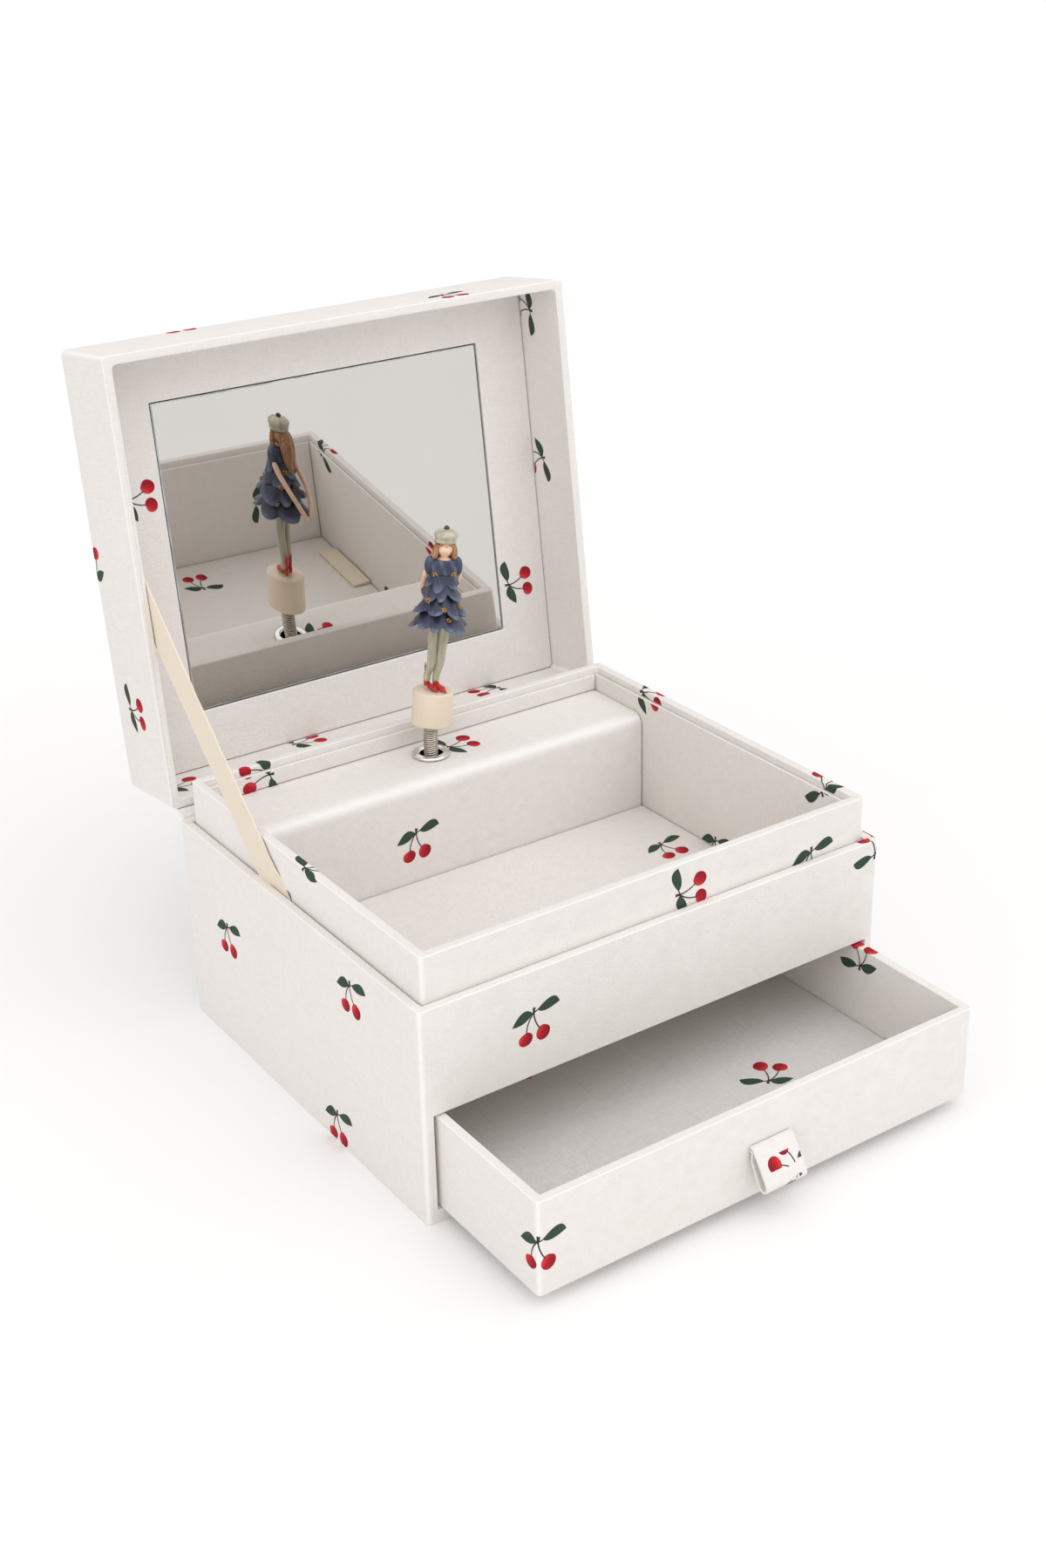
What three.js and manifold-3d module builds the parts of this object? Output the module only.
// Wind-up jewellery music box: a cloth-covered board case with a tray, a drawer, a mirrored lid
// and a turning dancer on a spring. Millimetres, +Z up, front towards -Y, origin at the middle of
// the underside. Rest pose: lid open, drawer part way out, dancer standing.

import * as THREE from 'three';
import { mergeVertices } from 'three/addons/utils/BufferGeometryUtils.js';
import Module from 'manifold-3d';

const wasm = await Module();
wasm.setup();

// ---------------------------------------------------------------- driving dimensions

const GLUE_GAP = 0.3;              // between two pieces that are glued or pressed together
const RUN_GAP = 0.8;               // round a piece that needs room
const CORNER_R = 1.6;              // soft upright corners of every covered box
const INNER_R = 0.6;               // and of its inside

const CASE_W = 160;
const CASE_D = 137;
const CASE_H = 67;
const CASE_WALL = 2.8;             // board with its cloth
const BASE_T = 4;
const SLOT_JAMB = 3.4;             // case front left standing beside the drawer
const SLOT_TOP = 34.2;

const DRAWER_L = CASE_D - 41;     // what the movement leaves in front of it
const DRAWER_WALL = 2.8;
const DRAWER_FLOOR = 2.4;
const DRAWER_OUT = 45.2;           // how far the drawer stands out in the rest pose
const DRAWER_SIDE_GAP = 1.1;
const DRAWER_TOP_GAP = 0.6;
const DRAWER_BASE_GAP = 0.4;
const LINING_T = 1.0;              // covered card glued inside walls and floors

const SHELF_T = 1.5;               // board between the drawer and the tray
const PARTITION_T = 2.4;           // board behind the drawer

const TRAY_GAP = 0.5;
const TRAY_WALL = 2.8;
const TRAY_FLOOR_T = 1.9;
const COLLAR_RISE = 13.6;          // tray standing proud of the case; the lid fits over it
const LINING_DROP = 2.2;           // linings stop this far below the tray's rim

const HOUSING_DEPTH = 27.1;        // raised block along the back of the tray
const HOUSING_DROP = 7.8;          // its top, below the tray's rim
const HOUSING_WALL = 2.4;
const HOUSING_R = 4;               // its rounded front top edge

const LID_OVER = 0.5;              // lid overhang past the case on each side
const LID_H = 30.6;
const LID_WALL = 2.8;
const LID_OPEN = 97.1;             // degrees from closed
const PANEL_DEPTH = 21.5;          // mirror panel, in from the lid's rim
const PANEL_T = 2.0;
const MIRROR_W = 117.4;
const MIRROR_H = 97.8;
const MIRROR_T = 1.5;
const MIRROR_SHIFT = 1.2;          // towards the lid's front edge
const BACKING_T = 3.6;

const HINGE_OUT = 2.7;             // hinge line, behind the case's back
const HINGE_DROP = 0.1;            // and below its rim
const CLOTH_T = 0.6;
const CLOTH_ON_CASE = 13;          // glued height on the case's back
const CLOTH_ON_LID = 20;           // glued depth on the lid's back

const RIBBON_W = 11;
const RIBBON_T = 0.5;
const RIBBON_TAIL = 14;            // glued length between the tray and the case
const RIBBON_Y = 13;               // where it leaves the case
const RIBBON_UP = 74;              // where it is glued in the lid, along from the lid's back
const RIBBON_IN = 11;              // and in from the lid's rim
const RIBBON_STEP = 1.8;           // height above the case in which it moves out past the tray

const TAB_W = 14;
const TAB_LEN = 12;
const TAB_T = 0.7;
const TAB_LOOP = 2.4;              // how far the loop stands open
const TAB_Z = 20.5;
const TAB_DROOP = 58;              // degrees below level

const LABEL_L = 27;
const LABEL_W = 8;
const LABEL_T = 0.9;
const LABEL_Y = -35;

const SPINDLE_Y = CASE_D / 2 - 17.5;
const RING_R = 6.05;
const RING_BORE_R = 3.6;
const RING_H = 1.4;
const RING_STEM_R = 4.4;

const SPRING_R = 2.3;
const SPRING_BORE_R = 1.5;
const SPRING_COILS = 11;
const SPRING_BELOW = 4.8;          // spring inside the housing
const SPRING_SHOWN = 10.2;
const FLEX_H = 8.6;                // height above the housing where the spring bends
const LEAN = 8;                    // degrees the dancer leans at rest

const PEDESTAL_R = 6.35;
const PEDESTAL_H = 11.2;
const PEDESTAL_FOOT = 2.3;         // its underside, above the bend
const PEG_R = 1.0;
const PEG_IN = 5;
const FIGURE_H = 55.7;
const FIGURE_TURN = -25;           // degrees the figure faces away from straight ahead

// movement
const MODULE = 0.5;                // pitch diameter per tooth
const BARREL_Z = 46;
const BARREL_Y = CASE_D / 2 - 13.4;  // middle of the barrel's toothed rim
const BARREL_TEETH = 44;
const CROWN_TEETH = 36;            // on the barrel's front face
const SPINDLE_TEETH = 16;
const PINION_TEETH = 12;
const CYLINDER_TEETH = 26;
const GOVERNOR_PINION_TEETH = 8;
const GOVERNOR_TEETH = 20;
const WORM_STARTS = 3;
const TOOTH_H = 0.45;
const ROOT_H = 0.6;
const BARREL_R = 9.4;
const ARBOR_R = 1.6;
const SHAFT_R = 0.9;
const SHAFT_GAP = 0.25;
const CYLINDER_R = 5.7;
const CYLINDER_X0 = 14.6;
const CYLINDER_L = 20.4;
const COMB_TEETH = 17;
const PLATE_T = 2;
const BOSS_H = 1.6;
const KEY_REACH = 14;              // winding key, out from the case's back
const KEY_HOLE_R = 3.4;
const SCREW_R = 1.2;
const SCREW_HEAD_R = 2.2;

// ---------------------------------------------------------------- worked-out places

const CASE_IN_W = CASE_W / 2 - CASE_WALL;
const CASE_IN_D = CASE_D / 2 - CASE_WALL;
const FRONT_Y = -CASE_D / 2;
const BACK_Y = CASE_D / 2;
const TRAY_X = CASE_IN_W - TRAY_GAP;
const TRAY_Y = CASE_IN_D - TRAY_GAP;
const TRAY_TOP = CASE_H + COLLAR_RISE;
const SHELF_Z = SLOT_TOP + GLUE_GAP;
const TRAY_Z = SHELF_Z + SHELF_T + GLUE_GAP;
const TRAY_FLOOR = TRAY_Z + TRAY_FLOOR_T;
const PAD_Z = TRAY_FLOOR + GLUE_GAP;
const FLOOR_Z = PAD_Z + LINING_T;
const LINING_X = TRAY_X - TRAY_WALL - GLUE_GAP - LINING_T;
const TRAY_IN_Y = TRAY_Y - TRAY_WALL;
const LINING_TOP = TRAY_TOP - LINING_DROP;
const HOUSING_FRONT = TRAY_IN_Y - HOUSING_DEPTH;
const HOUSING_TOP = TRAY_TOP - HOUSING_DROP;
const HOUSING_IN_Y = HOUSING_FRONT + HOUSING_WALL;
const DRAWER_X = CASE_W / 2 - SLOT_JAMB - DRAWER_SIDE_GAP;
const DRAWER_Z = BASE_T + DRAWER_BASE_GAP;
const DRAWER_TOP = SLOT_TOP - DRAWER_TOP_GAP;
const DRAWER_BACK = FRONT_Y + DRAWER_L;
const PARTITION_Y = DRAWER_BACK + 1;
const HINGE_Y = BACK_Y + HINGE_OUT;
const HINGE_Z = CASE_H - HINGE_DROP;
const LID_X = CASE_W / 2 + LID_OVER;
const LID_Y = CASE_D / 2 + LID_OVER;
const LID_Z = CASE_H + GLUE_GAP;
const PANEL_Z = LID_Z + PANEL_DEPTH;
const FLEX_Z = HOUSING_TOP + FLEX_H;
const PLATE_BACK = TRAY_IN_Y - GLUE_GAP - BOSS_H;
const PLATE_FRONT = PLATE_BACK - PLATE_T;
const RIM_R = MODULE * BARREL_TEETH / 2;
const CROWN_R = MODULE * CROWN_TEETH / 2;
const SPINDLE_GEAR_R = MODULE * SPINDLE_TEETH / 2;
const PINION_R = MODULE * PINION_TEETH / 2;
const CYLINDER_GEAR_R = MODULE * CYLINDER_TEETH / 2;
const GOVERNOR_PINION_R = MODULE * GOVERNOR_PINION_TEETH / 2;
const GOVERNOR_R = MODULE * GOVERNOR_TEETH / 2;
const BARREL_FRONT = BARREL_Y - 5.6;
const CROWN_PITCH_Y = BARREL_FRONT - 0.75;
const CYLINDER_Y = CROWN_PITCH_Y - PINION_R;
const CYLINDER_X1 = CYLINDER_X0 + CYLINDER_L;
const GEAR_X = CYLINDER_X1 + 1.2;
const GOVERNOR_Y = CYLINDER_Y + 6;
const GOVERNOR_Z = BARREL_Z - Math.sqrt((CYLINDER_GEAR_R + GOVERNOR_PINION_R) ** 2 - 36);
const WORM_R = 1.3;
const WORM_Y = GOVERNOR_Y - GOVERNOR_R - WORM_R;
const WORM_X = GEAR_X + 5;

// ---------------------------------------------------------------- finishes

const finish = (colour, roughness, metalness = 0) => new THREE.MeshStandardMaterial({
  color: colour, roughness, metalness,
});
const CLOTH = finish(0xe9e5e1, 0.9);
const LINING = finish(0xe2ddd8, 0.92);
const BOARD = finish(0xb7ab98, 0.95);
const TAPE = finish(0xeadfc8, 0.9);
const MIRROR = finish(0xc4c2be, 0.03, 1);
const CHROME = finish(0xd8d8d6, 0.12, 1);
const STEEL = finish(0xb9b4aa, 0.3, 1);
const BRASS = finish(0xc9a45a, 0.35, 1);
const ZINC = finish(0xa9a9a6, 0.5, 0.9);
const CREAM = finish(0xebdcc6, 0.45);
const PAINT = finish(0x434b66, 0.5);

// ---------------------------------------------------------------- shape helpers

// A closed three.js geometry as a solid that can be joined and cut.
function solid(geometry) {
  const g = geometry.clone();
  g.deleteAttribute('normal');
  g.deleteAttribute('uv');
  const merged = mergeVertices(g, 1e-4);
  return new wasm.Manifold(new wasm.Mesh({
    numProp: 3,
    vertProperties: new Float32Array(merged.attributes.position.array),
    triVerts: new Uint32Array(merged.index.array),
  }));
}

// A solid back as a three.js geometry.
function geometryOf(body) {
  const mesh = body.getMesh();
  const g = new THREE.BufferGeometry();
  g.setAttribute('position', new THREE.BufferAttribute(mesh.vertProperties, 3));
  g.setIndex(new THREE.BufferAttribute(mesh.triVerts, 1));
  return g;
}

// A named piece, added to its group.
function addPiece(parent, name, body, material) {
  const mesh = new THREE.Mesh(geometryOf(body), material);
  mesh.name = name;
  parent.add(mesh);
  return mesh;
}

// A box between two x, two y and two z values.
function block(x0, x1, y0, y1, z0, z1) {
  const g = new THREE.BoxGeometry(x1 - x0, y1 - y0, z1 - z0);
  g.translate((x0 + x1) / 2, (y0 + y1) / 2, (z0 + z1) / 2);
  return solid(g);
}

// A flat outline in X and Y, given a height.
function raised(shape, z0, z1, curveSegments = 3) {
  const g = new THREE.ExtrudeGeometry(shape, { depth: z1 - z0, bevelEnabled: false, curveSegments });
  g.translate(0, 0, z0);
  return solid(g);
}

// A rectangle centred on (0, 0) with rounded corners.
function roundedRectangle(halfX, halfY, radius) {
  const s = new THREE.Shape();
  s.moveTo(-halfX + radius, -halfY);
  s.lineTo(halfX - radius, -halfY);
  s.absarc(halfX - radius, -halfY + radius, radius, -Math.PI / 2, 0);
  s.lineTo(halfX, halfY - radius);
  s.absarc(halfX - radius, halfY - radius, radius, 0, Math.PI / 2);
  s.lineTo(-halfX + radius, halfY);
  s.absarc(-halfX + radius, halfY - radius, radius, Math.PI / 2, Math.PI);
  s.lineTo(-halfX, -halfY + radius);
  s.absarc(-halfX + radius, -halfY + radius, radius, Math.PI, Math.PI * 1.5);
  return s;
}

// A covered box seen from above, y0 to y1, with soft upright corners.
function softBox(halfX, y0, y1, z0, z1, radius = CORNER_R) {
  const middle = (y0 + y1) / 2;
  return raised(roundedRectangle(halfX, (y1 - y0) / 2, radius), z0, z1).translate([0, middle, 0]);
}

// An outline in Y and Z, given a length along X.
function along(points, x0, x1) {
  const shape = new THREE.Shape(points.map(([y, z]) => new THREE.Vector2(y, z)));
  const g = new THREE.ExtrudeGeometry(shape, { depth: x1 - x0, bevelEnabled: false });
  g.rotateY(Math.PI / 2);
  g.rotateX(Math.PI / 2);
  g.translate(x0, 0, 0);
  return solid(g);
}

// A profile of [radius, height] points turned about the Z axis.
function turned(profile, segments = 24) {
  const points = profile.map(([r, z]) => new THREE.Vector2(r, z));
  const g = new THREE.LatheGeometry(points, segments);
  g.rotateX(Math.PI / 2);
  return solid(g);
}

// A plain round bar on the Z axis.
const rod = (radius, z0, z1, segments = 16) => turned([[0, z0], [radius, z0], [radius, z1], [0, z1]], segments);

// A round bar with a bore right through.
const tube = (outer, bore, z0, z1, segments = 24) => turned(
  [[bore, z0], [outer, z0], [outer, z1], [bore, z1], [bore, z0]], segments);

// The same solid turned from the Z axis to the X or the Y axis, then placed.
const onX = (body, x, y, z) => body.rotate([0, 90, 0]).translate([x, y, z]);
const onY = (body, x, y, z) => body.rotate([-90, 0, 0]).translate([x, y, z]);

// A spur gear on the Z axis. turn is where its first tooth points, in degrees.
function spurGear(teeth, z0, z1, boreR, turn = 0) {
  const pitch = MODULE * teeth / 2;
  const step = 2 * Math.PI / teeth;
  const outline = [];
  const corners = [[-0.26, -ROOT_H], [-0.1, TOOTH_H], [0.1, TOOTH_H], [0.26, -ROOT_H]];
  for (let i = 0; i < teeth; i += 1) {
    for (const [share, rise] of corners) {
      const a = turn * Math.PI / 180 + (i + share) * step;
      const r = pitch + rise;
      outline.push(new THREE.Vector2(r * Math.cos(a), r * Math.sin(a)));
    }
  }
  return raised(new THREE.Shape(outline), z0, z1).subtract(rod(boreR, z0 - 1, z1 + 1));
}

// Teeth standing on the face of a wheel on the Z axis, pointing down from z1 to z0.
function crownTeeth(teeth, length, width, z0, z1, turn = 0) {
  const pitch = MODULE * teeth / 2;
  let all = null;
  for (let i = 0; i < teeth; i += 1) {
    const tooth = block(pitch - length / 2, pitch + length / 2, -width / 2, width / 2, z0, z1)
      .rotate([0, 0, turn + i * 360 / teeth]);
    all = all ? all.add(tooth) : tooth;
  }
  return all;
}

// A ball, squashed to its three half-sizes.
function ball(centre, halfSizes, segments = 12) {
  return solid(new THREE.SphereGeometry(1, segments, Math.round(segments * 0.7)))
    .scale(halfSizes).translate(centre);
}

// A tapered limb between two points.
function limb(from, to, r0, r1, segments = 8) {
  const a = new THREE.Vector3(...from);
  const b = new THREE.Vector3(...to);
  const direction = b.clone().sub(a);
  const g = new THREE.CylinderGeometry(r1, r0, direction.length(), segments);
  g.translate(0, direction.length() / 2, 0);
  const turn = new THREE.Quaternion().setFromUnitVectors(new THREE.Vector3(0, 1, 0), direction.normalize());
  g.applyQuaternion(turn);
  g.translate(a.x, a.y, a.z);
  return solid(g);
}

// A strap of one thickness that follows a line of [y, z] points, given a width along X.
function strap(points, thickness, x0, x1) {
  const left = [];
  const right = [];
  points.forEach(([y, z], i) => {
    const before = points[Math.max(i - 1, 0)];
    const after = points[Math.min(i + 1, points.length - 1)];
    const length = Math.hypot(after[0] - before[0], after[1] - before[1]);
    const ny = -(after[1] - before[1]) / length;
    const nz = (after[0] - before[0]) / length;
    left.push([y + ny * thickness / 2, z + nz * thickness / 2]);
    right.push([y - ny * thickness / 2, z - nz * thickness / 2]);
  });
  return along([...left, ...right.reverse()], x0, x1);
}

// ---------------------------------------------------------------- case and tray

// Base and four walls in one covered shell, with the drawer slot and the holes behind the movement.
function outerCase() {
  const slotX = CASE_W / 2 - SLOT_JAMB;
  let shell = softBox(CASE_W / 2, FRONT_Y, BACK_Y, 0, CASE_H)
    .subtract(softBox(CASE_IN_W, -CASE_IN_D, CASE_IN_D, BASE_T, CASE_H + 1, INNER_R))
    .subtract(block(-slotX, slotX, FRONT_Y - 1, FRONT_Y + CASE_WALL + 1, BASE_T, SLOT_TOP));
  for (const hole of backHoles(CASE_IN_D - 1, BACK_Y + 1)) {
    shell = shell.subtract(hole);
  }
  return shell;
}

const SCREW_PLACES = [[-17, 36], [-17, 50], [30, 50]];

// The key hole and the movement's screw holes, between two y values.
function backHoles(y0, y1) {
  const holes = [onY(rod(KEY_HOLE_R, 0, y1 - y0), 0, y0, BARREL_Z)];
  for (const [x, z] of SCREW_PLACES) {
    holes.push(onY(rod(SCREW_R + GLUE_GAP, 0, y1 - y0, 10), x, y0, z));
  }
  return holes;
}

// Board over the drawer, which the tray stands on.
function drawerShelf() {
  return block(-CASE_IN_W + GLUE_GAP, CASE_IN_W - GLUE_GAP, -CASE_IN_D + GLUE_GAP,
    PARTITION_Y + PARTITION_T, SHELF_Z, SHELF_Z + SHELF_T);
}

// Board that closes the drawer's bay off from the movement.
function rearPartition() {
  return block(-CASE_IN_W + GLUE_GAP, CASE_IN_W - GLUE_GAP, PARTITION_Y, PARTITION_Y + PARTITION_T,
    BASE_T + GLUE_GAP, SHELF_Z - GLUE_GAP);
}

// Tray with a floor opening under the movement and a shallow pocket for the ribbon's glued tail.
function innerTray() {
  const pocket = TRAY_WALL / 4;
  const wide = ribbonSlope().half + RUN_GAP;
  let tray = softBox(TRAY_X, -TRAY_Y, TRAY_Y, TRAY_Z, TRAY_TOP)
    .subtract(softBox(TRAY_X - TRAY_WALL, -TRAY_IN_Y, TRAY_IN_Y, TRAY_FLOOR, TRAY_TOP + 1, INNER_R))
    .subtract(block(-26, WORM_X + 6, HOUSING_IN_Y, TRAY_IN_Y, TRAY_Z - 1, TRAY_FLOOR + 1))
    .subtract(block(-TRAY_X - 1, -TRAY_X + pocket, RIBBON_Y - wide, RIBBON_Y + wide + RIBBON_STEP,
      CASE_H - RIBBON_TAIL - RUN_GAP, CASE_H + RIBBON_STEP));
  for (const hole of backHoles(TRAY_IN_Y - 1, TRAY_Y + 1)) {
    tray = tray.subtract(hole);
  }
  return tray;
}

// Covered cards inside the tray's four walls.
function trayLinings(parent) {
  const outer = LINING_X + LINING_T;
  const y0 = -TRAY_IN_Y + GLUE_GAP;
  const y1 = TRAY_IN_Y - GLUE_GAP;
  const fit = LINING_X - GLUE_GAP;
  const above = HOUSING_TOP + GLUE_GAP;
  addPiece(parent, 'lining_left', block(-outer, -LINING_X, y0, y1, PAD_Z, LINING_TOP), LINING);
  addPiece(parent, 'lining_right', block(LINING_X, outer, y0, y1, PAD_Z, LINING_TOP), LINING);
  addPiece(parent, 'lining_front', block(-fit, fit, y0, y0 + LINING_T, PAD_Z, LINING_TOP), LINING);
  addPiece(parent, 'lining_back', block(-fit, fit, y1 - LINING_T, y1, above, LINING_TOP), LINING);
}

// Covered card on the tray's floor.
function floorPad() {
  const fit = LINING_X - GLUE_GAP;
  const front = -TRAY_IN_Y + GLUE_GAP + LINING_T + GLUE_GAP;
  return block(-fit, fit, front, HOUSING_FRONT - GLUE_GAP, PAD_Z, FLOOR_Z);
}

// Bent covered card over the movement: a front and a top with a round edge between.
function movementHousing() {
  const back = TRAY_IN_Y - GLUE_GAP;
  const outline = (inset, r) => {
    const points = [[HOUSING_FRONT + inset, PAD_Z]];
    for (let i = 0; i <= 4; i += 1) {
      const a = Math.PI - i * Math.PI / 8;
      points.push([HOUSING_FRONT + HOUSING_R + r * Math.cos(a), HOUSING_TOP - HOUSING_R + r * Math.sin(a)]);
    }
    points.push([back, HOUSING_TOP - inset]);
    return points;
  };
  const inner = outline(HOUSING_WALL, HOUSING_R - HOUSING_WALL).reverse();
  const half = LINING_X - GLUE_GAP;
  return along([...outline(0, HOUSING_R), ...inner], -half, half)
    .subtract(rod(RING_STEM_R + GLUE_GAP, HOUSING_TOP - 5, HOUSING_TOP + 5).translate([0, SPINDLE_Y, 0]));
}

// Chrome eyelet the spring comes up through.
function spindleRing() {
  const z = HOUSING_TOP + GLUE_GAP;
  return turned([
    [RING_BORE_R, z - 3], [RING_STEM_R, z - 3], [RING_STEM_R, z], [RING_R, z],
    [RING_R - 0.25, z + 0.65], [RING_R - 0.95, z + 1.0], [RING_BORE_R + 0.5, z + RING_H - 0.3],
    [RING_BORE_R, z + RING_H - 0.7], [RING_BORE_R, z - 3],
  ], 20).translate([0, SPINDLE_Y, 0]);
}

// Folded woven label lying in the seam at the right of the tray.
function wovenLabel() {
  const x1 = LINING_X - GLUE_GAP;
  const z = FLOOR_Z + GLUE_GAP;
  return block(x1 - LABEL_W, x1, LABEL_Y - LABEL_L / 2, LABEL_Y + LABEL_L / 2, z, z + LABEL_T);
}

// ---------------------------------------------------------------- lid, hinge and ribbon

// Turns a [y, z] place on the closed lid to where it lies with the lid open.
function opened([y, z]) {
  const a = -LID_OPEN * Math.PI / 180;
  const dy = y - HINGE_Y;
  const dz = z - HINGE_Z;
  return [HINGE_Y + dy * Math.cos(a) - dz * Math.sin(a), HINGE_Z + dy * Math.sin(a) + dz * Math.cos(a)];
}

function lidShell() {
  return softBox(LID_X, -LID_Y, LID_Y, LID_Z, LID_Z + LID_H)
    .subtract(softBox(LID_X - LID_WALL, -LID_Y + LID_WALL, LID_Y - LID_WALL, LID_Z - 1,
      LID_Z + LID_H - LID_WALL));
}

function mirrorPanel() {
  const x = LID_X - LID_WALL - GLUE_GAP;
  const y = LID_Y - LID_WALL - GLUE_GAP;
  const windowX = MIRROR_W / 2 + GLUE_GAP;
  const windowY = MIRROR_H / 2 + GLUE_GAP;
  return softBox(x, -y, y, PANEL_Z, PANEL_Z + PANEL_T).subtract(
    block(-windowX, windowX, -windowY - MIRROR_SHIFT, windowY - MIRROR_SHIFT, PANEL_Z - 1, PANEL_Z + 9));
}

function mirrorGlass() {
  const top = PANEL_Z + PANEL_T;
  return block(-MIRROR_W / 2, MIRROR_W / 2, -MIRROR_H / 2 - MIRROR_SHIFT, MIRROR_H / 2 - MIRROR_SHIFT,
    top - MIRROR_T, top);
}

// Foam board between the mirror and the lid's top.
function mirrorBacking() {
  const x = LID_X - LID_WALL - 2;
  const y = LID_Y - LID_WALL - 2;
  const z = PANEL_Z + PANEL_T + GLUE_GAP;
  return block(-x, x, -y, y, z, z + BACKING_T);
}

// One strip of cloth: glued to the case's back, round the hinge line, glued under the open lid.
function hingeCloth() {
  const out = GLUE_GAP + CLOTH_T / 2;
  const corner = opened([LID_Y + out, LID_Z]);
  const far = opened([LID_Y + out, LID_Z + CLOTH_ON_LID]);
  return strap([
    [BACK_Y + out, CASE_H - CLOTH_ON_CASE], [BACK_Y + out, CASE_H - 0.4],
    [BACK_Y + out + 0.9, CASE_H + 0.8], corner, far,
  ], CLOTH_T, -LID_X + 2, LID_X - 2);
}

// Slope of the stretched ribbon, and half the length of its cut across a level line.
function ribbonSlope() {
  const [endY, endZ] = opened([LID_Y - RIBBON_UP, LID_Z + RIBBON_IN]);
  const slope = Math.atan2(endZ - CASE_H, endY - RIBBON_Y);
  return { endY, endZ, slope, half: RIBBON_W / 2 / Math.sin(slope) };
}

// Flat tape that stops the lid: glued between tray and case, out past the collar, glued in the lid.
function lidRibbon() {
  const { endY, endZ, slope, half } = ribbonSlope();
  const inside = -CASE_IN_W + GLUE_GAP + RIBBON_T / 2;
  const outside = -TRAY_X - GLUE_GAP - RIBBON_T / 2;
  const yAt = (z) => RIBBON_Y + Math.max(z - CASE_H, 0) / Math.tan(slope);
  const route = [
    [inside, CASE_H - RIBBON_TAIL], [inside, CASE_H + 0.3], [outside, CASE_H + RIBBON_STEP],
    [outside, TRAY_TOP + 2], [inside, TRAY_TOP + 20], [inside, endZ],
  ];
  const edge = (side, face) => route.map(([x, z]) => [x + face * RIBBON_T / 2, yAt(z) + side * half, z]);
  return ribbonSolid(edge(-1, -1), edge(1, -1), edge(1, 1), edge(-1, 1));
}

// A closed strip from its four long edges, taken round in order.
function ribbonSolid(...edges) {
  const count = edges[0].length;
  const vertices = [];
  for (let i = 0; i < count; i += 1) {
    edges.forEach((e) => vertices.push(...e[i]));
  }
  const faces = [];
  for (let i = 0; i < count - 1; i += 1) {
    for (let k = 0; k < 4; k += 1) {
      const a = i * 4 + k;
      const b = i * 4 + (k + 1) % 4;
      faces.push(a, b + 4, b, a, a + 4, b + 4);
    }
  }
  const last = (count - 1) * 4;
  faces.push(0, 1, 2, 0, 2, 3, last, last + 2, last + 1, last, last + 3, last + 2);
  const g = new THREE.BufferGeometry();
  g.setAttribute('position', new THREE.BufferAttribute(new Float32Array(vertices), 3));
  g.setIndex(faces);
  return solid(g);
}

// ---------------------------------------------------------------- drawer

function drawerBox() {
  const inX = DRAWER_X - DRAWER_WALL;
  return softBox(DRAWER_X, FRONT_Y, DRAWER_BACK, DRAWER_Z, DRAWER_TOP)
    .subtract(softBox(inX, FRONT_Y + DRAWER_WALL, DRAWER_BACK - DRAWER_WALL,
      DRAWER_Z + DRAWER_FLOOR, DRAWER_TOP + 1, INNER_R));
}

function drawerLining() {
  const inX = DRAWER_X - DRAWER_WALL - GLUE_GAP;
  const inset = DRAWER_WALL + GLUE_GAP;
  const z = DRAWER_Z + DRAWER_FLOOR + GLUE_GAP;
  return softBox(inX, FRONT_Y + inset, DRAWER_BACK - inset, z, z + LINING_T);
}

// Folded cloth loop, drooping from the drawer's front.
function pullTab() {
  const a = TAB_DROOP * Math.PI / 180;
  const loop = (grow) => {
    const half = TAB_LOOP / 2 + grow;
    const points = [[0.6 - grow, 0.5 + grow], [3, half]];
    const turns = 4;
    for (let i = 0; i <= turns; i += 1) {
      const b = Math.PI / 2 - i * Math.PI / turns;
      points.push([TAB_LEN - TAB_LOOP / 2 + half * Math.cos(b), half * Math.sin(b)]);
    }
    points.push([3, -half], [0.6 - grow, -0.5 - grow]);
    return points.map(([d, h]) => [-d * Math.cos(a) - h * Math.sin(a), -d * Math.sin(a) + h * Math.cos(a)]);
  };
  const half = TAB_W / 2;
  return along(loop(TAB_T), -half, half).subtract(along(loop(0), -half - 1, half + 1))
    .translate([0, FRONT_Y - GLUE_GAP - 1.4, TAB_Z]);
}

// ---------------------------------------------------------------- movement, fixed pieces

// Cast plate with three bosses behind it and two lugs in front for the comb.
function movementBedplate() {
  const top = HOUSING_TOP - HOUSING_WALL - 1.6;
  let plate = block(-21, GEAR_X + 1.8, PLATE_FRONT, PLATE_BACK, BARREL_Z - 14, top);
  for (const [x, z] of SCREW_PLACES) {
    plate = plate.add(onY(rod(3.2, 0, BOSS_H + 0.5), x, PLATE_BACK - 0.5, z));
  }
  const lugY = CYLINDER_Y + 0.9;
  plate = plate.add(block(CYLINDER_X0, CYLINDER_X1, lugY, PLATE_FRONT + 0.5, BARREL_Z + 17.2, top));
  for (const [x, z] of SCREW_PLACES) {
    plate = plate.subtract(onY(rod(SCREW_R + GLUE_GAP, 0, 9, 10), x, PLATE_FRONT - 1, z));
  }
  for (const x of combScrewXs()) {
    plate = plate.subtract(onY(rod(1.1, 0, 5, 10), x, lugY - 1, BARREL_Z + 20));
  }
  return plate.subtract(onY(rod(ARBOR_R + 1.2, 0, 9), 0, PLATE_FRONT - 1, BARREL_Z));
}

const combScrewXs = () => [CYLINDER_X0 + 4, CYLINDER_X1 - 4];

// Screw through the case's back and the tray into a boss on the plate.
function movementScrew([x, z]) {
  const head = BACK_Y + GLUE_GAP;
  return onY(rod(SCREW_R, PLATE_FRONT - head, 0.2, 10)
    .add(turned([[0, 0], [SCREW_HEAD_R, 0], [SCREW_HEAD_R * 0.8, 0.9], [0, 1.3]], 14)), x, head, z);
}

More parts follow.
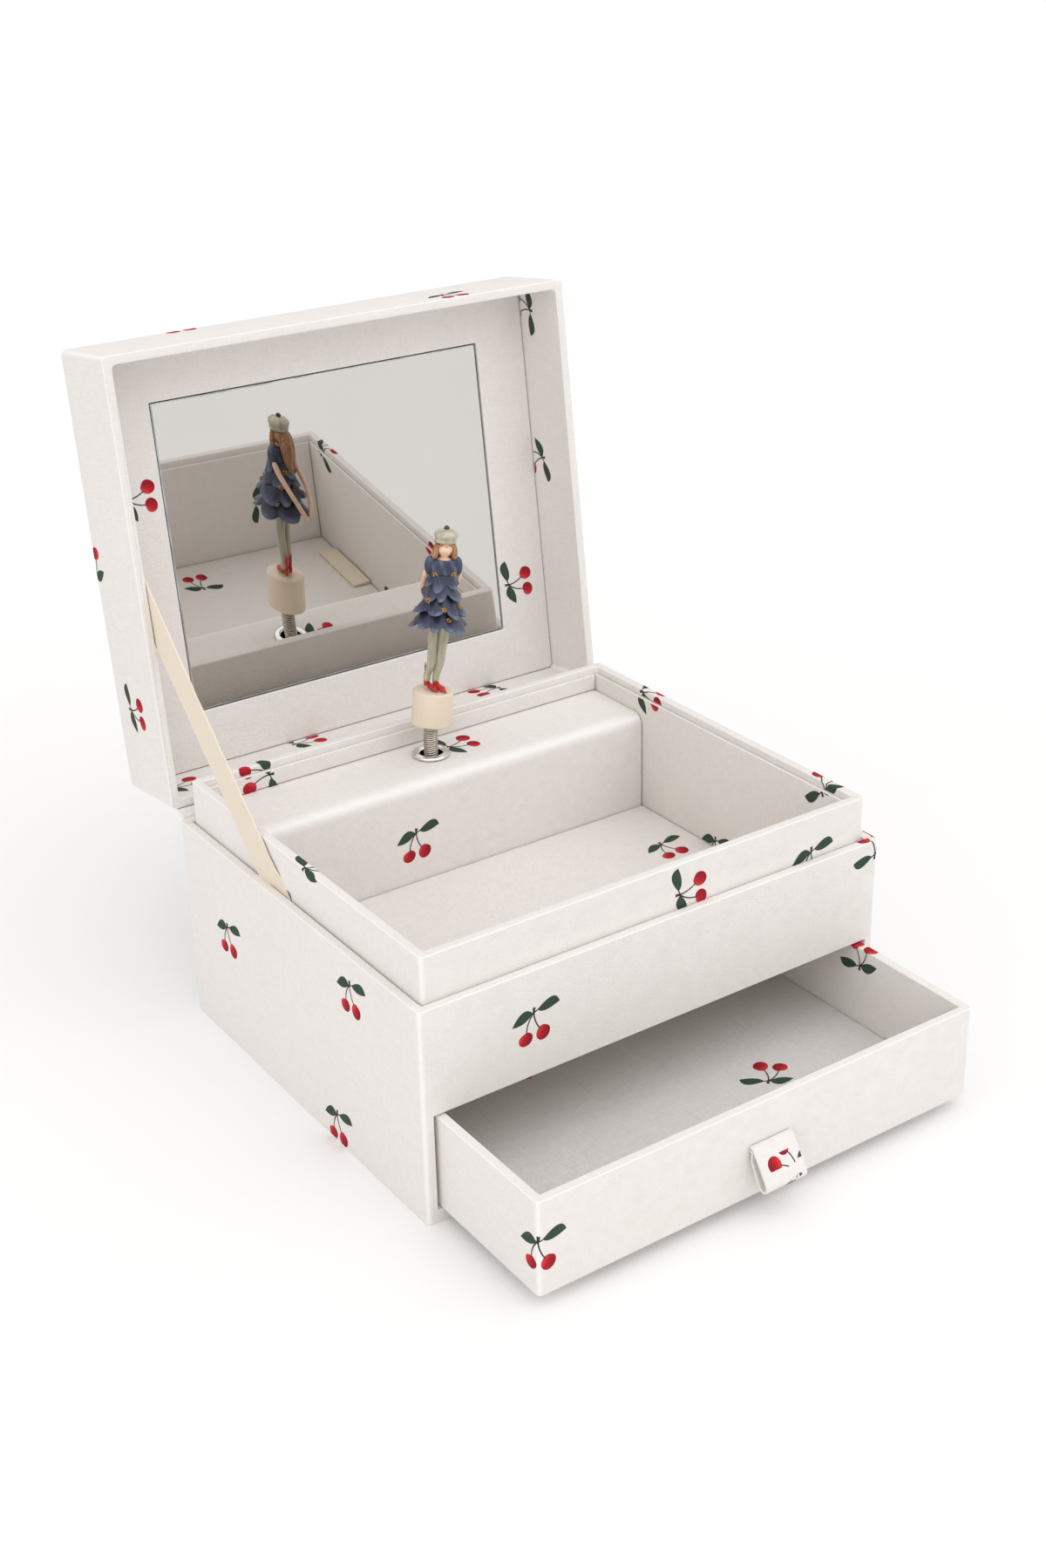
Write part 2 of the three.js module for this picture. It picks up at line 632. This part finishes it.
// Steel comb: a plate with a row of teeth, longer towards the low notes.
function toneComb() {
  const y1 = CYLINDER_Y + 0.6;
  const z1 = BARREL_Z + 23;
  const tip = BARREL_Z + CYLINDER_R + 0.9;
  const pitch = (CYLINDER_L - 1) / COMB_TEETH;
  let comb = block(CYLINDER_X0, CYLINDER_X1, y1 - 0.8, y1, tip, z1);
  for (let i = 0; i < COMB_TEETH - 1; i += 1) {
    const x = CYLINDER_X0 + 0.5 + (i + 1) * pitch;
    const root = BARREL_Z + 16.5 - i * 0.3;
    comb = comb.subtract(block(x - 0.14, x + 0.14, y1 - 2, y1 + 1, tip - 1, root));
  }
  for (const x of combScrewXs()) {
    comb = comb.subtract(onY(rod(1.1, 0, 5, 10), x, y1 - 3, BARREL_Z + 20));
  }
  return comb;
}

function combScrew(x) {
  const head = CYLINDER_Y + 0.6 - 0.8 - GLUE_GAP;
  return onY(rod(0.8, -0.2, 3.2, 10).add(rod(1.8, -1.1, 0, 12)), x, head, BARREL_Z + 20);
}

// Post on the plate that carries one end of the cylinder's arbor.
function bearingPost(x, thick) {
  const reach = PLATE_FRONT - GLUE_GAP;
  return block(x, x + thick, CYLINDER_Y - 2.2, reach, BARREL_Z - 2.2, BARREL_Z + 2.2)
    .subtract(onX(rod(SHAFT_R + SHAFT_GAP, -1, thick + 1), x, CYLINDER_Y, BARREL_Z));
}

// U-shaped frame beside the plate that holds the governor's wheel and its upright fan.
function governorFrame() {
  const x0 = GEAR_X + 2.1;
  const x1 = WORM_X + 3.2;
  const y0 = WORM_Y - 2;
  const z0 = GOVERNOR_Z - 7;
  const z1 = GOVERNOR_Z + 17;
  const wall = block(x0, x0 + 0.9, GOVERNOR_Y - 2.5, PLATE_BACK, z0, z1);
  const foot = block(x0, x1, y0, PLATE_BACK, z0, z0 + 1.2);
  const roof = block(x0, x1, y0, PLATE_BACK, z1 - 1.2, z1);
  const rear = block(x0, x1, PLATE_FRONT + 0.6, PLATE_BACK, z0, z1);
  return wall.add(foot).add(roof).add(rear)
    .subtract(onX(rod(SHAFT_R + SHAFT_GAP, 0, 6), x0 - 2, GOVERNOR_Y, GOVERNOR_Z))
    .subtract(rod(0.6 + SHAFT_GAP, z0 - 1, z1 + 1).translate([WORM_X, WORM_Y, 0]));
}

// Arm from the plate that steadies the dancer's spindle.
function spindleBracket() {
  const z = BARREL_Z + RIM_R + 4.2;
  return block(-4, 4, SPINDLE_Y - 4, PLATE_FRONT - GLUE_GAP, z, z + 1.4)
    .subtract(rod(1.1 + SHAFT_GAP, z - 1, z + 3).translate([0, SPINDLE_Y, 0]));
}

// ---------------------------------------------------------------- movement, turning pieces

// Drum open at the back, with a toothed rim and teeth on its front face.
function springBarrel() {
  const back = PLATE_FRONT - 1.4;
  const halfRim = 0.8;
  const drum = onY(rod(BARREL_R, 0, back - BARREL_FRONT, 24), 0, BARREL_FRONT, BARREL_Z);
  const rim = onY(spurGear(BARREL_TEETH, -halfRim, halfRim, 1, 90 + 180 / BARREL_TEETH), 0, BARREL_Y, BARREL_Z);
  const crown = onY(crownTeeth(CROWN_TEETH, 1.4, 0.45, -1.1, 0.4, 180 / CROWN_TEETH), 0, BARREL_FRONT, BARREL_Z);
  const wide = onY(rod(CROWN_R + 0.7, 0, 1.2, 24), 0, BARREL_FRONT, BARREL_Z);
  return drum.add(rim).add(crown).add(wide)
    .subtract(onY(rod(BARREL_R - 0.9, 1.2, 20, 24), 0, BARREL_FRONT, BARREL_Z))
    .subtract(onY(rod(ARBOR_R + SHAFT_GAP, -3, 20), 0, BARREL_FRONT, BARREL_Z));
}

// Lid pressed into the back of the drum.
function barrelCover() {
  const back = PLATE_FRONT - 1.4;
  return onY(tube(BARREL_R - 1.2, ARBOR_R + SHAFT_GAP, -0.8, 0), 0, back, BARREL_Z);
}

// Coiled flat spring round the arbor.
function mainspring() {
  const y0 = BARREL_FRONT + 1.6;
  const y1 = PLATE_FRONT - 1.4 - 0.8 - GLUE_GAP;
  const turns = 4;
  const steps = 14;
  const r0 = ARBOR_R + 0.6;
  const r1 = BARREL_R - 1.6;
  const inner = [];
  const outer = [];
  for (let i = 0; i <= turns * steps; i += 1) {
    const a = i * 2 * Math.PI / steps;
    const r = r0 + (r1 - r0) * i / (turns * steps);
    inner.push(new THREE.Vector2(r * Math.cos(a), r * Math.sin(a)));
    outer.push(new THREE.Vector2((r + 0.5) * Math.cos(a), (r + 0.5) * Math.sin(a)));
  }
  const shape = new THREE.Shape([...outer, ...inner.reverse()]);
  return onY(raised(shape, 0, y1 - y0), 0, y0, BARREL_Z);
}

// Arbor from the front of the barrel out through the case's back.
function windingArbor() {
  const y0 = BARREL_FRONT - 0.6;
  const length = BACK_Y + KEY_REACH - 6 - y0;
  return onY(rod(ARBOR_R, 0, length), 0, y0, BARREL_Z);
}

// Key with a round hub and two flat wings.
function windingKey() {
  const y0 = BACK_Y + 3.5;
  const wing = new THREE.Shape();
  wing.absellipse(6.4, 0, 5.6, 4.4, 0, Math.PI * 2);
  const hole = new THREE.Path();
  hole.absellipse(7.2, 0, 2.6, 1.9, 0, Math.PI * 2);
  wing.holes.push(hole);
  const flat = raised(wing, -0.9, 0.9, 8);
  const wings = flat.add(flat.rotate([0, 0, 180])).translate([0, y0 + KEY_REACH - 6.2, BARREL_Z]);
  const hub = onY(turned([[0, 0], [3.1, 0], [3.1, KEY_REACH - 5], [2.3, KEY_REACH - 3.5], [0, KEY_REACH - 3.5]], 20),
    0, y0, BARREL_Z);
  return hub.add(wings).subtract(onY(rod(ARBOR_R + GLUE_GAP, -1, KEY_REACH - 8.5), 0, y0, BARREL_Z));
}

// Brass cylinder on its arbor, with raised pins in the comb's tracks.
function pinCylinder() {
  const pitch = (CYLINDER_L - 1) / COMB_TEETH;
  let body = rod(CYLINDER_R, CYLINDER_X0, CYLINDER_X1, 28)
    .add(rod(SHAFT_R, CROWN_R - 1.6, GEAR_X + 2.6, 12));
  for (let i = 0; i < COMB_TEETH; i += 1) {
    for (let k = 0; k < 2; k += 1) {
      const x = CYLINDER_X0 + 0.5 + (i + 0.5) * pitch;
      const pin = block(CYLINDER_R - 0.6, CYLINDER_R + 0.45, -0.2, 0.2, x - 0.2, x + 0.2)
        .rotate([0, 0, i * 137.5 + k * 151 + 20]);
      body = body.add(pin);
    }
  }
  return onX(body, 0, CYLINDER_Y, BARREL_Z);
}

const cylinderPinion = () => onX(spurGear(PINION_TEETH, -0.8, 0.8, SHAFT_R + GLUE_GAP, 90),
  CROWN_R, CYLINDER_Y, BARREL_Z);

// Direction from the cylinder's axis to the governor's, in degrees from +Y towards +Z.
const MESH_ANGLE = Math.atan2(GOVERNOR_Z - BARREL_Z, GOVERNOR_Y - CYLINDER_Y) * 180 / Math.PI;

const cylinderGear = () => onX(spurGear(CYLINDER_TEETH, 0, 1.2, SHAFT_R + GLUE_GAP,
  90 + MESH_ANGLE + 180 / CYLINDER_TEETH), GEAR_X, CYLINDER_Y, BARREL_Z);

// Pinion, arbor and wheel in one, turning the upright worm.
function governorWheel() {
  const body = spurGear(GOVERNOR_PINION_TEETH, 0, 1.2, 0.4, 90 + MESH_ANGLE + 180)
    .add(rod(SHAFT_R, -0.8, WORM_X - GEAR_X + 1.2, 12))
    .add(spurGear(GOVERNOR_TEETH, WORM_X - GEAR_X - 0.25, WORM_X - GEAR_X + 0.25, 0.4, -90));
  return onX(body, GEAR_X, GOVERNOR_Y, GOVERNOR_Z);
}

// Upright worm with a two-bladed fan that the air holds back.
function governorFly() {
  const pitch = Math.PI * MODULE;
  const lead = pitch * WORM_STARTS;
  const steps = 10;
  const z0 = GOVERNOR_Z - lead / 2 - pitch / 2;
  let fly = rod(0.6, GOVERNOR_Z - 6.8, GOVERNOR_Z + 16.8, 10).add(rod(0.7, z0 - 1, GOVERNOR_Z + 6, 10));
  for (let start = 0; start < WORM_STARTS; start += 1) {
    const points = [];
    for (let i = 0; i <= steps; i += 1) {
      const share = i / steps - 0.5;
      const a = Math.PI / 2 + share * 2 * Math.PI + start * 2 * Math.PI / WORM_STARTS;
      points.push([a, GOVERNOR_Z + share * lead + pitch / 2]);
    }
    fly = fly.add(wormThread(points));
  }
  const blade = block(-2.6, 2.6, -0.25, 0.25, GOVERNOR_Z + 7, GOVERNOR_Z + 14.5);
  return fly.add(blade).translate([WORM_X, WORM_Y, 0]);
}

// A thread ridge from [angle, height] places, between the worm's root and tip.
function wormThread(places) {
  const rootR = 0.5;
  const tipR = WORM_R + 0.35;
  const half = 0.2;
  const ring = (r, up) => places.map(([a, z]) => [r * Math.cos(a), r * Math.sin(a), z + up]);
  return ribbonSolid(ring(rootR, -half * 1.5), ring(tipR, -half), ring(tipR, half), ring(rootR, half * 1.5));
}

// Spindle under the dancer, with a crown wheel on the barrel's rim.
function dancerSpindle() {
  const pitchZ = BARREL_Z + RIM_R;
  const face = pitchZ + TOOTH_H + 0.3;
  return rod(1.1, face, FLEX_Z - 2.4, 14)
    .add(rod(SPINDLE_GEAR_R + 0.6, face, face + 1.4, 20))
    .add(crownTeeth(SPINDLE_TEETH, 1.2, 0.45, pitchZ - 0.35, face + 0.3, 90))
    .translate([0, SPINDLE_Y, 0]);
}

// Close-wound spring, drawn as a pile of round turns.
function dancerSpring() {
  const z0 = HOUSING_TOP - SPRING_BELOW;
  const pitch = (SPRING_BELOW + SPRING_SHOWN) / SPRING_COILS;
  const profile = [[SPRING_BORE_R, z0]];
  for (let i = 0; i < SPRING_COILS; i += 1) {
    profile.push([SPRING_R - 0.2, z0 + i * pitch], [SPRING_R, z0 + (i + 0.5) * pitch]);
  }
  const top = z0 + SPRING_COILS * pitch;
  profile.push([SPRING_R - 0.2, top], [SPRING_BORE_R, top], [SPRING_BORE_R, z0]);
  return turned(profile, 12).translate([0, SPINDLE_Y, 0]);
}

// ---------------------------------------------------------------- dancer, above the bend at (0, 0, 0)

const dancerPeg = () => rod(PEG_R, 0.2, PEDESTAL_FOOT + PEG_IN, 12);

function dancerPedestal() {
  const z0 = PEDESTAL_FOOT;
  const z1 = z0 + PEDESTAL_H;
  const soft = 0.5;
  return turned([
    [0, z0], [PEDESTAL_R - soft, z0], [PEDESTAL_R, z0 + soft], [PEDESTAL_R, z1 - soft],
    [PEDESTAL_R - soft, z1], [0, z1],
  ], 28).subtract(rod(PEG_R + GLUE_GAP, z0 - 1, z0 + PEG_IN + GLUE_GAP, 14));
}

// Heights of the figure as shares of its own height, feet at 0, facing -Y.
function dancerFigure() {
  const h = FIGURE_H;
  const tiers = [[0.355, 0.48, 0.092], [0.455, 0.56, 0.082], [0.545, 0.64, 0.066], [0.625, 0.74, 0.05]];
  let body = rod(0.07 * h, 0.5 * h, 0.8 * h, 12).scale([1, 0.85, 1]);
  for (const [low, high, half] of tiers) {
    const skirt = turned([[0, low * h + 0.8], [half * 1.75 * h, low * h], [half * 1.7 * h, (low + 0.03) * h],
      [0.06 * h, high * h], [0, high * h]], 14);
    body = body.add(skirt.scale([1, 1.08, 1]));
  }
  for (const side of [-1, 1]) {
    const x = side * 0.03 * h;
    body = body.add(limb([x * 0.8, 0, 0.03 * h], [x * 1.1, 0, 0.4 * h], 0.026 * h, 0.036 * h));
    body = body.add(ball([x, -0.022 * h, 0.021 * h], [0.022 * h, 0.062 * h, 0.02 * h], 8));
    body = body.add(ball([side * 0.085 * h, 0, 0.765 * h], [0.034 * h, 0.04 * h, 0.045 * h], 8));
    body = body.add(limb([side * 0.088 * h, 0.01 * h, 0.75 * h], [side * 0.085 * h, 0.085 * h, 0.6 * h],
      0.019 * h, 0.016 * h));
    body = body.add(limb([side * 0.085 * h, 0.085 * h, 0.6 * h], [0, 0.16 * h, 0.52 * h], 0.017 * h, 0.015 * h));
  }
  body = body.add(limb([0, 0, 0.76 * h], [0, 0, 0.84 * h], 0.03 * h, 0.026 * h));
  body = body.add(ball([0, 0, 0.872 * h], [0.047 * h, 0.05 * h, 0.058 * h], 10));
  body = body.add(ball([0, 0.045 * h, 0.8 * h], [0.052 * h, 0.03 * h, 0.13 * h], 8));
  body = body.add(turned([[0, 0.905 * h], [0.056 * h, 0.905 * h], [0.068 * h, 0.93 * h],
    [0.055 * h, 0.96 * h], [0, 0.972 * h]], 12));
  body = body.add(ball([0, 0, 0.982 * h], [0.017 * h, 0.017 * h, 0.018 * h], 8));
  const foot = PEDESTAL_FOOT + PEDESTAL_H + GLUE_GAP;
  return body.trimByPlane([0, 0, 1], 0.002 * h).rotate([0, 0, FIGURE_TURN]).translate([0, 0, foot]);
}

// ---------------------------------------------------------------- assembly

const musicBox = new THREE.Group();

addPiece(musicBox, 'outer_case', outerCase(), CLOTH);
addPiece(musicBox, 'drawer_shelf', drawerShelf(), BOARD);
addPiece(musicBox, 'rear_partition', rearPartition(), BOARD);
addPiece(musicBox, 'inner_tray', innerTray(), CLOTH);
trayLinings(musicBox);
addPiece(musicBox, 'floor_pad', floorPad(), LINING);
addPiece(musicBox, 'movement_housing', movementHousing(), CLOTH);
addPiece(musicBox, 'spindle_ring', spindleRing(), CHROME);
addPiece(musicBox, 'woven_label', wovenLabel(), TAPE);
addPiece(musicBox, 'hinge_cloth', hingeCloth(), CLOTH);
addPiece(musicBox, 'lid_ribbon', lidRibbon(), TAPE);

// the lid is built closed, in a group that stands open on the hinge line
const lid = new THREE.Group();
lid.position.set(0, HINGE_Y, HINGE_Z);
lid.rotation.x = -LID_OPEN * Math.PI / 180;
musicBox.add(lid);
for (const [name, body, material] of [
  ['lid_shell', lidShell(), CLOTH], ['mirror_panel', mirrorPanel(), CLOTH],
  ['mirror', mirrorGlass(), MIRROR], ['mirror_backing', mirrorBacking(), BOARD],
]) {
  addPiece(lid, name, body.translate([0, -HINGE_Y, -HINGE_Z]), material);
}

// the drawer is built closed, in a group that stands part way out
const drawer = new THREE.Group();
drawer.position.set(0, -DRAWER_OUT, 0);
musicBox.add(drawer);
addPiece(drawer, 'drawer_box', drawerBox(), CLOTH);
addPiece(drawer, 'drawer_lining', drawerLining(), LINING);
addPiece(drawer, 'pull_tab', pullTab(), CLOTH);

// fixed parts of the movement
addPiece(musicBox, 'movement_bedplate', movementBedplate(), ZINC);
SCREW_PLACES.forEach((place, i) => addPiece(musicBox, `movement_screw_${i + 1}`, movementScrew(place), STEEL));
addPiece(musicBox, 'tone_comb', toneComb(), STEEL);
combScrewXs().forEach((x, i) => addPiece(musicBox, `comb_screw_${i + 1}`, combScrew(x), STEEL));
addPiece(musicBox, 'cylinder_bearing_left', bearingPost(CYLINDER_X0 - 2.3, 1.5), ZINC);
addPiece(musicBox, 'cylinder_bearing_right', bearingPost(GEAR_X - 0.95, 0.7), ZINC);
addPiece(musicBox, 'governor_frame', governorFrame(), ZINC);
addPiece(musicBox, 'spindle_bracket', spindleBracket(), STEEL);

// turning parts of the movement
addPiece(musicBox, 'spring_barrel', springBarrel(), BRASS);
addPiece(musicBox, 'barrel_cover', barrelCover(), BRASS);
addPiece(musicBox, 'mainspring', mainspring(), STEEL);
addPiece(musicBox, 'winding_arbor', windingArbor(), STEEL);
addPiece(musicBox, 'winding_key', windingKey(), ZINC);
addPiece(musicBox, 'pin_cylinder', pinCylinder(), BRASS);
addPiece(musicBox, 'cylinder_pinion', cylinderPinion(), BRASS);
addPiece(musicBox, 'cylinder_gear', cylinderGear(), BRASS);
addPiece(musicBox, 'governor_wheel', governorWheel(), BRASS);
addPiece(musicBox, 'governor_fly', governorFly(), STEEL);
addPiece(musicBox, 'dancer_spindle', dancerSpindle(), STEEL);
addPiece(musicBox, 'dancer_spring', dancerSpring(), STEEL);

// the dancer is built above its bend, in a group that leans a little
const dancer = new THREE.Group();
dancer.position.set(0, SPINDLE_Y, FLEX_Z);
dancer.rotation.y = LEAN * Math.PI / 180;
musicBox.add(dancer);
addPiece(dancer, 'dancer_peg', dancerPeg(), STEEL);
addPiece(dancer, 'dancer_pedestal', dancerPedestal(), CREAM);
addPiece(dancer, 'dancer_figure', dancerFigure(), PAINT);

export default musicBox;
